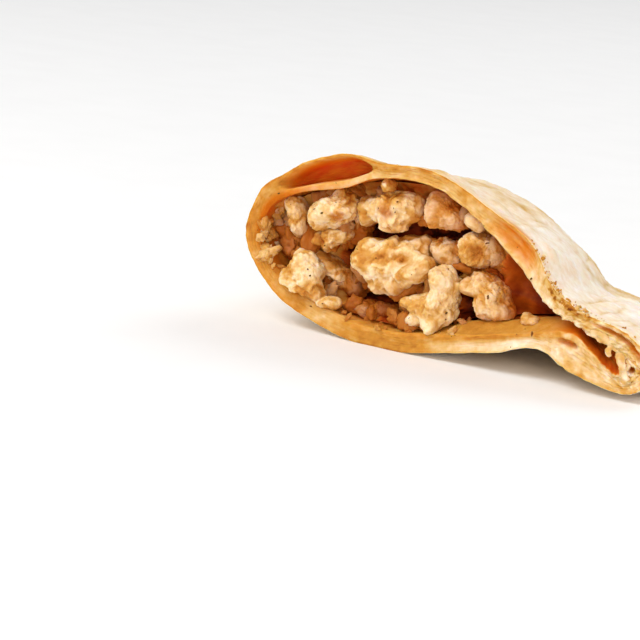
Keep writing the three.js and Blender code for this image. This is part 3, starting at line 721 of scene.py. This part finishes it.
# Distance to the hollow's wall, worked out once on a lattice: at each depth the nearest side of the ring of points
# there, less than 0 outside it
def makeWallLattice():
    x, y, z = [low + step * np.arange(count) for low, step, count in zip(wall["corner"], wall["step"], wall["count"])]
    spot = np.stack(np.meshgrid(x, z, indexing="ij"), -1)[:, :, None]
    row = np.arange(wall["sides"]) / wall["sides"] * loops
    levels = []
    for depth in y:
        ring = onHollow(row, np.full(len(row), depth / crust["length"]))[:, [0, 2]]
        before = np.roll(ring, 1, axis=0)
        nearest = fromLine(spot, before, ring).min(-1)
        # a spot is inside where an odd number of sides cross its level to the right of it
        crossed = (before[:, 1] > spot[..., 1]) != (ring[:, 1] > spot[..., 1])
        rise = np.where(ring[:, 1] == before[:, 1], 1e-9, ring[:, 1] - before[:, 1])
        crossing = before[:, 0] + (spot[..., 1] - before[:, 1]) / rise * (ring[:, 0] - before[:, 0])
        within = np.sum(crossed & (spot[..., 0] < crossing), axis=-1) % 2 == 1
        levels.append(np.where(within, nearest, -nearest))
    return np.stack(levels, 1)


wallLattice = makeWallLattice()


# The lattice read between its points, by shares of each step
def wallDistance(points):
    p = (points - np.array(wall["corner"])) / np.array(wall["step"])
    p = np.clip(p, 0, np.array(wallLattice.shape) - 1.001)
    cell = np.floor(p).astype(int)
    total = 0
    for corner, weight in cornerWeights(p - cell):
        i, j, k = np.moveaxis(cell + corner, -1, 0)
        total += weight * wallLattice[i, j, k]
    return total


# Torn meat's relief in mm: lumps, nodules in patches, torn flakes, fibres that run along a direction, and fine
# roughness; and how far each point lies in a crease, where the colour darkens, partly sauce and partly painted shade
def tornMeat(points, along):
    warped = points + 1.1 * np.stack([noise(points, 3.0, seed) for seed in (90, 91, 92)], -1)
    lump, nodule = lumpy(warped, chicken["lump"], 93), lumpy(warped, chicken["nodule"], 95)
    level = 0.42  # between a lump's middle and its valleys
    patchy = smooth(noise(points, 5, 97), -0.5, 0.2)
    fibrous = points - 0.8 * np.sum(points * along, axis=-1, keepdims=True) * along
    fibres = noise(fibrous, chicken["fibre"], 99) * smooth(noise(points, 4, 89), -0.1, 0.4)
    large, small = chicken["flakes"]
    torn = 0.75 * flakes(warped, large, 107) + 0.4 * flakes(points, small, 109)
    cut = lump - level + patchy * 0.5 * (nodule - level) + torn + 0.2 * roughness(points, 0.9, 98, 3, 0.6)
    cut += 0.22 * fibres
    creaseAndShade = 0.45 * smooth(lump, level, 0.66) + 0.25 * smooth(cut, 0, 0.5)
    creaseAndShade += 0.3 * patchy * smooth(nodule, 0.44, 0.66) + 0.25 * fibres
    return cut, creaseAndShade


# A piece's surface: in each direction from its middle, where its lumps end or short of the wall, of a piece in
# front or of the cut, found by walking out 0.7 of the distance left at each step; then torn meat's relief cut in
def makeChicken(name):
    balls = lumps[name]
    number = list(lumps).index(name)
    middle = np.average(balls[:, :3], axis=0, weights=balls[:, 3] ** 2)
    inFront = [other for other in list(lumps.values())[:number]
               if np.linalg.norm(other[:, :3].mean(0) - middle) < chicken["nearby"]]
    ways, squares = cubeDirections(chicken["facets"] if len(balls) > 2 else chicken["bitFacets"])

    def outsideBy(points):
        field = np.maximum(pieceDistance(balls, points), chicken["clearance"] - wallDistance(points))
        field = np.maximum(field, -chicken["proud"] - points[..., 1])
        for other in inFront:
            field = np.maximum(field, chicken["clearance"] - pieceDistance(other, points))
        return field

    reach = np.full(len(ways), 0.2)
    for _ in range(chicken["steps"]):
        reach += np.clip(-0.7 * outsideBy(middle + ways * reach[:, None]), -0.4, 0.8)
    points = middle + ways * reach[:, None]

    # fibres run through each piece in a direction of its own, and small pieces are less rough
    cut, creaseAndShade = tornMeat(points, unit(np.random.default_rng(number).normal(size=3)))
    cut = np.clip(cut - 0.12, -0.5, 0.8) * np.clip(balls[:, 3].max() / 2.2, 0.5, 1)
    points -= ways * np.minimum(cut, reach * 0.5)[:, None]
    # sauce colour: more further back, partly sauce and partly painted shade, and painted shade on the side turned
    # from the light; real sauce in the golden spots
    shaded = smooth(-ways @ np.array(chicken["towardsLight"]), -0.4, 0.9)
    own = sauciness.get(name, 0)
    sauceAndShade = own + 0.62 * smooth(points[:, 1], 3.5, 9) + 0.36 * shaded
    for x, y, z, radius in sauceSpots:
        away = np.linalg.norm(points + 0.5 * noise(points, 1.2, 88)[:, None] - (x, y, z), axis=1)
        sauceAndShade += 0.75 * (1 - smooth(away, 0.3 * radius, radius))
    # creases paler nearer the cut and on clean pieces; their darkening further back is painted shade
    paler = 0.75 + 0.25 * smooth(points[:, 1], 3, 8) + 0.6 * min(own, 0)
    values = {"creaseAndShade": np.clip(paler * creaseAndShade, 0, 1), "sauceAndShade": np.clip(sauceAndShade, 0, 0.95)}
    material = meat if len(balls) > 4 else shreddedMeat
    piece = makePiece(name.replace("chicken", "torn"), points, [squares], material, values)
    if name.startswith("chicken"):
        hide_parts(name)
    return points


chickenPoints = {name: makeChicken(name) for name in lumps}
print("chicken made", sum(len(points) for points in chickenPoints.values()), "points")

filling = {  # mm, but for the counts
    "depth": 8.0, "gapDepth": 5.5, "floorForward": 2.5, "sideBack": 5.5, "pressedIn": -1.2, "wallAir": 0.45,
    "nuggets": 4.6, "columns": 360, "faceRows": 110, "sideRows": 16,
}

# Deep gaps between the pieces: from x, z to x, z, half as wide as the last number
gaps = np.array([
    (-16.8, 20.8, 3.7, 24.4, 2.2), (-21.6, 15.4, -20.6, 13.6, 2.4), (-19.5, 8.6, -8.5, 8.4, 2.2),
    (5.5, 9.6, 9.2, 9, 2.4), (2, 23.5, 2.4, 17.5, 2.2), (4.6, 13, 5.4, 10.5, 1.8),
])


# 1 in the middle of the gaps to 0 outside them, by distance from each gap's line
def inGap(x, z):
    away = fromLine(np.stack([x, z], -1)[..., None, :], gaps[:, 0:2], gaps[:, 2:4])
    return (1 - smooth(away, 0.3 * gaps[:, 4], 1.5 * gaps[:, 4])).max(-1)


# How far x is past the left end of the smooth side, by the sealed edge, which leans to the right as z rises
def pastSide(x, z):
    return x - 1.5 * smooth(z, 15, 19)


# How far behind the cut its face lies: waves of 7 mm, forward along the floor, back in the gaps, beside the sealed
# edge and at the top, and then back step by step until no loose piece is more than pressed into it
def fillingDepth(x, z):
    depth = filling["depth"] + 0.9 * ripple(x, 0, z, 7, 6) + filling["gapDepth"] * inGap(x, z)
    depth += 1.0 * smooth(z, 27.5, 30.5) + filling["sideBack"] * smooth(pastSide(x, z), 11, 17)
    depth -= filling["floorForward"] * (1 - smooth(z, 5, 9)) * (1 - smooth(x, 2, 10))
    everyLump = np.concatenate(list(lumps.values()))
    for _ in range(30):
        gap = fromLumps(everyLump, spots(x, depth, z)).min(-1)
        depth += np.clip(filling["pressedIn"] - gap, 0, 1) * 0.7
    return depth


# Rings from the blind end forward along the hollow's wall, then over the uneven face to its middle
def makeFilling():
    cols = filling["columns"]
    row = np.arange(cols) / cols * loops
    air = filling["wallAir"]
    middle = onHollow(row, np.full(cols, filling["depth"] / crust["length"]), air).mean(axis=0)
    keep = (np.arange(1, filling["faceRows"] + 1) / filling["faceRows"])[:, None]
    rows = row + 0 * keep
    y = np.full(rows.shape, float(filling["depth"]))
    for _ in range(4):
        edge = onHollow(rows, y / crust["length"], air)
        x, z = mix(middle[0], edge[..., 0], keep), mix(middle[2], edge[..., 2], keep)
        y = fillingDepth(x, z)
    face = np.stack([x, y, z], -1)
    # torn meat pressed together, with gaps between some of it, all cut back; the gaps are darkened with painted shade
    smoothSide = smooth(pastSide(x, z), 11, 14)
    relief, creaseAndShade = tornMeat(face + 50, np.array([0.8, 0.5, 0.3]))
    nearest, second = nuggets(face + 1.2 * noise(face, 4, 100)[..., None], filling["nuggets"], 103)
    gap = np.clip(1 - (second - nearest) / 0.22, 0, 1) * smooth(noise(face, 6, 104), -0.2, 0.3)
    inGaps = inGap(x, z)
    back = 1.5 + 2.2 * relief + 1.2 * gap
    face[..., 1] += back * (1 - keep ** 8) * (1 - 0.9 * smoothSide) * (1 - 0.8 * inGaps)
    # darker in the creases, partly sauce and partly painted shade, and between the nuggets, painted shade
    creaseAndShade = 0.1 + 0.45 * creaseAndShade + 0.5 * gap
    # a set tone on the smooth side by the sealed edge, darker towards it, and a set orange tone at the top under the
    # lip
    sideTone = 0.56 + 0.2 * smooth(x, 17, 23)
    creaseAndShade = mix(mix(creaseAndShade, sideTone, smoothSide), 0.42, 0.8 * smooth(z, 27.5, 30))
    # painted shade, nearly black, in the deep gaps
    creaseAndShade = np.clip(creaseAndShade + 0.65 * inGaps, 0, 1)

    deepest = face[-1, :, 1].max() + 1
    end = (crust["hollowLength"] - 1.5) / crust["length"]
    s = np.linspace(deepest / crust["length"], end * 0.995, filling["sideRows"])[:, None]
    side = drawnIn(onHollow(row + 0 * s, s, air), s, end)
    back = onHollow(row, np.full(cols, end), air).mean(axis=0)
    front = np.array([middle[0], face[0, :, 1].mean(), middle[2]])
    rings = np.concatenate([side[::-1], face[::-1]])
    points = np.concatenate([[back], rings.reshape(-1, 3), [front]])
    creasesAndShade = np.concatenate([np.full(side.shape[0] * cols + 1, 0.5), creaseAndShade[::-1].ravel(), [0.2]])
    piece = makePiece("packedFilling", points, ringFaces(len(rings), cols), sauced, {"creaseAndShade": creasesAndShade})
    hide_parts("filling")


makeFilling()
print("filling made")

shreds = {
    "count": 80, "radius": (0.9, 2.3), "across": (-37, 24), "up": (4, 33), "fromWall": 0.4, "facets": 9, "seed": 11,
    # crumbs: rows of the section they lie between, and how far behind the cut, besides their count and sizes
    "floor": {"count": 30, "rows": (11.8, 15.0), "deepest": 9, "sizes": (0.3, 0.8)},
    "wall": {"count": 46, "rows": (9.2, 12.2), "deepest": 7, "sizes": (0.4, 1.2)},
}


# Rough bits round their middles: radius (1 + 0.4 noise + 0.45 flakes + 0.2 fine noise) in each direction,
# stretched along a line of their own by up to longest
def bitPoints(middles, radii, facets, random, longest=2.4):
    ways, squares = cubeDirections(facets)
    line = unit(random.normal(size=(len(middles), 3)))
    sample = ways + middles[:, None] * 7.3
    rough = 0.4 * noise(sample, 1.1, 120) + 0.45 * flakes(sample, 0.9, 121) + 0.2 * noise(sample, 0.35, 123)
    reach = radii[:, None] * (1 + rough)
    away = ways * reach[..., None]
    along = np.sum(away * line[:, None], axis=-1, keepdims=True)
    away += along * line[:, None] * random.uniform(0, longest - 1, (len(middles), 1, 1))
    points = middles[:, None] + away
    faces = squares[None] + np.arange(len(middles))[:, None, None] * len(ways)
    return points.reshape(-1, 3), faces.reshape(-1, 4)


# Whether bits are in no loose piece, or in one by less than a fifth of their size
def free(points, size):
    return np.min([pieceDistance(balls, points) for balls in lumps.values()], axis=0) > -0.2 * size


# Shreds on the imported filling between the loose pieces, and crumbs on the floor and the fold's wall, at the first
# free ones of many places
def makeShreds():
    random = np.random.default_rng(shreds["seed"])
    tries = shreds["count"] * 6
    x, z = random.uniform(*shreds["across"], tries), random.uniform(*shreds["up"], tries)
    radius = mix(*shreds["radius"], random.random(tries) ** 1.6)
    middle = spots(x, fillingDepth(x, z) - random.uniform(-0.2, 1.6, tries), z)
    fromWall = radius * 0.7 + 2.2 * smooth(z, 18, 22) * (1 - smooth(x, -32, -27))
    chosen = free(middle, radius) & (wallDistance(middle) > fromWall) & (inGap(x, z) < 0.25)
    chosen &= random.random(tries) > smooth(x, 5, 9)
    chosen &= z < 28.5 + 2 * random.random(tries)
    inside = np.flatnonzero(chosen)[:shreds["count"]]

    def onWall(count, rows, deepest, sizes):
        tries = count * 3
        row, depth = random.uniform(*rows, tries), 0.8 + deepest * random.random(tries) ** 1.3
        size = mix(*sizes, random.random(tries) ** 2)
        spot = onHollow(row, depth / crust["length"], size[:, None] * 0.5)
        kept = np.flatnonzero(free(spot, size) & (noise(spot, 4, 122) > -0.15))[:count]
        return spot[kept], size[kept]

    lying, floorSizes = onWall(**shreds["floor"])
    stuck, wallSizes = onWall(**shreds["wall"])
    middles = np.concatenate([middle[inside], lying, stuck])
    radii = np.concatenate([radius[inside], floorSizes, wallSizes])
    points, faces = bitPoints(middles, radii, shreds["facets"], random)
    across = len(points) // len(middles)
    # the long ones in the filling end short of the hollow's wall
    back = np.repeat(middles, across, axis=0) - points
    past = np.clip(shreds["fromWall"] - wallDistance(points), 0, 4) * (np.arange(len(points)) < len(inside) * across)
    points += back * np.clip(1.5 * past / np.linalg.norm(back, axis=1), 0, 0.9)[:, None]
    # a random crease tone for each shred; sauce colour random, with more of it further back and low down, painted
    # shade
    creaseAndShade = random.uniform(0, 0.7, len(middles))
    sauceAndShade = random.uniform(0.1, 0.6, len(middles)) + 0.09 * (middles[:, 1] - 4)
    sauceAndShade = np.clip(sauceAndShade + 0.25 * (1 - smooth(middles[:, 2], 8, 13)), 0, 0.9)
    piece = makePiece("chickenShreds", points, [faces], shreddedMeat,
                      {"creaseAndShade": np.repeat(creaseAndShade, across), "sauceAndShade": np.repeat(sauceAndShade, across)})
    print("shreds", len(inside), "in the filling,", len(lying), "on the floor and", len(stuck), "on the wall")


makeShreds()

# Torn strands of dough: points of each path (x, y, z and radius), a strand across the gap, the curled edge of the
# leaf over it and a flake beside it; and how many browned crumbs lie along the lip of the slope
strands = {
    "paths": [
        [[44.6, 1.2, 10, 0.9], [45.3, 0.7, 8.4, 1], [46, 0.5, 6.2, 0.85], [46.7, 0.7, 4.4, 0.9],
         [47.2, 1.6, 3, 1]],
        [[36, 1.4, 12.6, 0.5], [38.2, 0.9, 12, 0.8], [40.4, 0.7, 11.6, 1], [42.6, 0.8, 10.8, 0.8],
         [44.4, 1, 10, 0.9], [46.6, 1.4, 9.6, 0.8]],
        [[43.2, 0.9, 10.4, 0.5], [42.7, 0.3, 9.2, 0.7], [43.3, 0.4, 8.3, 0.35]],
    ],
    "around": 24, "along": 80, "toast": 0.34, "crumbs": 70, "lipRow": 2.5, "crumbRadius": (0.1, 0.36), "facets": 5,
    "seed": 13,
}


# An oval profile, flatter from front to back, carried along the smooth path, with uneven edges
def strandPoints(path):
    path = np.array(path, float)
    t = np.linspace(0, len(path) - 1, strands["along"])
    first = np.clip(np.floor(t).astype(int), 0, len(path) - 2)
    a, b, c, d = [path[np.clip(first + k, 0, len(path) - 1)] for k in (-1, 0, 1, 2)]
    at = curveThrough(a, b, c, d, (t - first)[:, None])
    side = unit(np.cross(np.gradient(at[:, :3], axis=0), [0, 1, 0]))
    angle = np.arange(strands["around"]) / strands["around"] * 2 * math.pi
    ends = np.sqrt(np.clip(1 - np.linspace(-1, 1, len(t)) ** 8, 0.02, 1))
    radius = (at[:, 3] * ends)[:, None, None]
    ring = at[:, None, :3] + radius * np.cos(angle)[:, None] * side[:, None]
    ring += 0.4 * radius * np.sin(angle)[:, None] * np.array([0, 1, 0])
    ring += 0.3 * radius * np.stack([roughness(ring, 1.3, seed) for seed in (130, 134, 138)], -1)
    return np.concatenate([[ring[0].mean(0)], ring.reshape(-1, 3), [ring[-1].mean(0)]])


# The strands along their paths, and rough crumbs scattered on the skin just behind the lip
def makeStrands():
    random = np.random.default_rng(strands["seed"])
    parts, faceSets, toasts = [], [], []
    for path in strands["paths"]:
        ring = strandPoints(path)
        faceSets += [faces + sum(map(len, parts)) for faces in ringFaces(strands["along"], strands["around"])]
        parts.append(ring)
        toasts.append(strands["toast"] + 0.2 * noise(ring, 1.5, 140))
    count = strands["crumbs"]
    row, y = random.normal(strands["lipRow"], 0.8, count), 0.1 + 2.4 * random.random(count) ** 2
    middles = onCrust(row, y / crust["length"])[0]
    crumbs, faces = bitPoints(middles, mix(*strands["crumbRadius"], random.random(count) ** 2), strands["facets"],
                              random)
    faceSets.append(faces + sum(map(len, parts)))
    parts.append(crumbs)
    toasts.append(np.repeat(random.uniform(0.3, 0.75, count), len(crumbs) // count))
    toast = np.concatenate(toasts)
    piece = makePiece("crustFlakes", np.concatenate(parts), faceSets, doughCrumb,
                      {"toast": toast, "glow": 0 * toast, "sauceAndShade": 0 * toast})
    return len(toast)


print("strands and crumbs made", makeStrands(), "points")

# Specks of dried herb and pepper: the places of some at the cut (x, z), and how many more lie anywhere near it
specks = {
    "places": [
        [-38, 18.3], [-34.7, 14.6], [-23.6, 5.5], [-17, 5.8], [9.7, 5.9], [24.9, 10.1], [-6.4, 27.1],
        [13.2, 28.1], [9.3, 5.4], [-14.6, 18.6], [-1.3, 16], [16.4, 14.6],
    ],
    "more": 28, "radius": (0.08, 0.22), "facets": 3, "seed": 12,
    "across": (-38, 30), "up": (4, 34), "deepest": 12, "nearness": 0.35,
    "slant": (0.58, 0.2),  # mm aside and up for each mm of depth
}


# Dried herb flakes and ground pepper, dark olive to brown
def driedHerb():
    material, add, place = newMaterial("driedHerb")
    kinds = add("TexNoise", {"Vector": place, "Scale": 300})
    tone = add("ValToRGB", {"Fac": kinds}, stops=[(0.4, "#5E4C1C"), (0.6, "#7A4A1C")])
    shader = add("BsdfPrincipled", {"Base Color": tone, "Roughness": 0.7, "Specular IOR Level": 0.2})
    add("OutputMaterial", {"Surface": shader})
    return material


# Each speck lies on the foremost point of the pieces that is near a slanting line from its place into the hollow
def makeSpecks():
    random = np.random.default_rng(specks["seed"])
    skin = 1 + crust["outerRows"] * crust["columns"]
    surface = np.concatenate([crustPoints[skin:], *chickenPoints.values()])
    surface = surface[surface[:, 1] < specks["deepest"]]
    slanted = surface[:, [0, 2]] + surface[:, 1:2] * np.array(specks["slant"])
    tries = specks["more"] * 3
    spread = np.stack([random.uniform(*specks[key], tries) for key in ("across", "up")], 1)
    middles = []
    for place in [*specks["places"], *spread]:
        near = surface[np.linalg.norm(slanted - place, axis=1) < specks["nearness"]]
        if len(near):
            middles.append(near[near[:, 1].argmin()])
    middles = np.array(middles)[:len(specks["places"]) + specks["more"]]
    radii = mix(*specks["radius"], random.random(len(middles)) ** 2)
    points, faces = bitPoints(middles, radii, specks["facets"], random)
    piece = makePiece("herbSpecks", points, [faces], driedHerb())
    return len(middles)


print("specks made", makeSpecks())

studio = {
    "floor": "#F8F8F8", "world": "#FFFFFF", "worldStrength": 0.5,
    "floorSize": 3000,  # mm, from its middle to each side
    # place and size in metres, power in watts and colour of each soft box
    "key": ((-0.35, -0.8, 1.0), 0.7, 9.5, "#FFFFFF"),
    "fill": ((0.6, -0.95, 0.25), 0.5, 4.2, "#FFF0E0"),
    "back": ((0.3, 0.9, 0.8), 0.8, 4, "#FFFFFF"),
}


# Smooth painted board, matt white
def paintedBoard():
    material, add, place = newMaterial("paintedBoard")
    grain = add("TexNoise", {"Vector": place, "Scale": 60, "Detail": 2})
    tone = add("ValToRGB", {"Fac": grain}, stops=[(0.3, studio["floor"]), (0.7, "#FAFAFA")])
    shader = add("BsdfPrincipled", {"Base Color": tone, "Roughness": 0.9, "Specular IOR Level": 0.1})
    add("OutputMaterial", {"Surface": shader})
    return material


floorPoints = np.array([[-1, -1, 0], [1, -1, 0], [1, 1, 0], [-1, 1, 0]]) * float(studio["floorSize"])
floor = makePiece("floor", floorPoints, [np.array([[0, 1, 2, 3]])], paintedBoard(), rides=None)

world = bpy.data.worlds.new("studio")
world.use_nodes = True
bpy.context.scene.world = world
background = world.node_tree.nodes["Background"].inputs
background["Color"].default_value = colour(studio["world"])
background["Strength"].default_value = studio["worldStrength"]


# A soft box that faces the object
def softBox(name, place, size, power, tint):
    light = bpy.data.lights.new(name, "AREA")
    light.shape, light.size, light.energy, light.color = "DISK", size, power, colour(tint)[:3]
    lamp = bpy.data.objects.new(name, light)
    back = Vector(place).normalized()
    lamp.matrix_world = Matrix.Translation(place) @ back.to_track_quat("Z", "Y").to_matrix().to_4x4()
    bpy.context.scene.collection.objects.link(lamp)


for name in ("key", "fill", "back"):
    softBox(name, *studio[name])

view = {  # degrees and mm
    "azimuth": 30, "elevation": 10, "roll": 6, "distance": 600,
    "target": (0, 0, 20), "targetPixel": (420, 255), "mmPerPixel": 0.195, "image": 640,
}


# The camera stands at the distance from the target, and is aimed so that the target falls on its pixel
def makeCamera():
    azimuth, elevation, roll = [math.radians(view[key]) for key in ("azimuth", "elevation", "roll")]
    turn = Matrix.Rotation(azimuth, 3, "Z") @ Matrix.Rotation(math.pi / 2 - elevation, 3, "X")
    right, up, back = (turn @ Matrix.Rotation(roll, 3, "Z")).transposed()
    target = Vector(view["target"]) + Vector(frameShift)
    place = target + back * view["distance"]
    aside, down = [(pixel - view["image"] / 2) * view["mmPerPixel"] for pixel in view["targetPixel"]]
    back = (place - target + right * aside - up * down).normalized()
    right = up.cross(back).normalized()
    turn = Matrix([right, back.cross(right), back]).transposed().to_4x4()
    camera = bpy.data.cameras.new("camera")
    camera.sensor_width = 36
    camera.lens = view["distance"] / view["mmPerPixel"] / view["image"] * camera.sensor_width
    camera.clip_start, camera.clip_end = 0.01, 50
    holder = bpy.data.objects.new("camera", camera)
    holder.matrix_world = Matrix.Translation(place / 1000) @ turn
    bpy.context.scene.collection.objects.link(holder)
    bpy.context.scene.camera = holder


makeCamera()
bpy.context.scene.view_settings.view_transform = "Standard"
print("floor, light and camera ready")
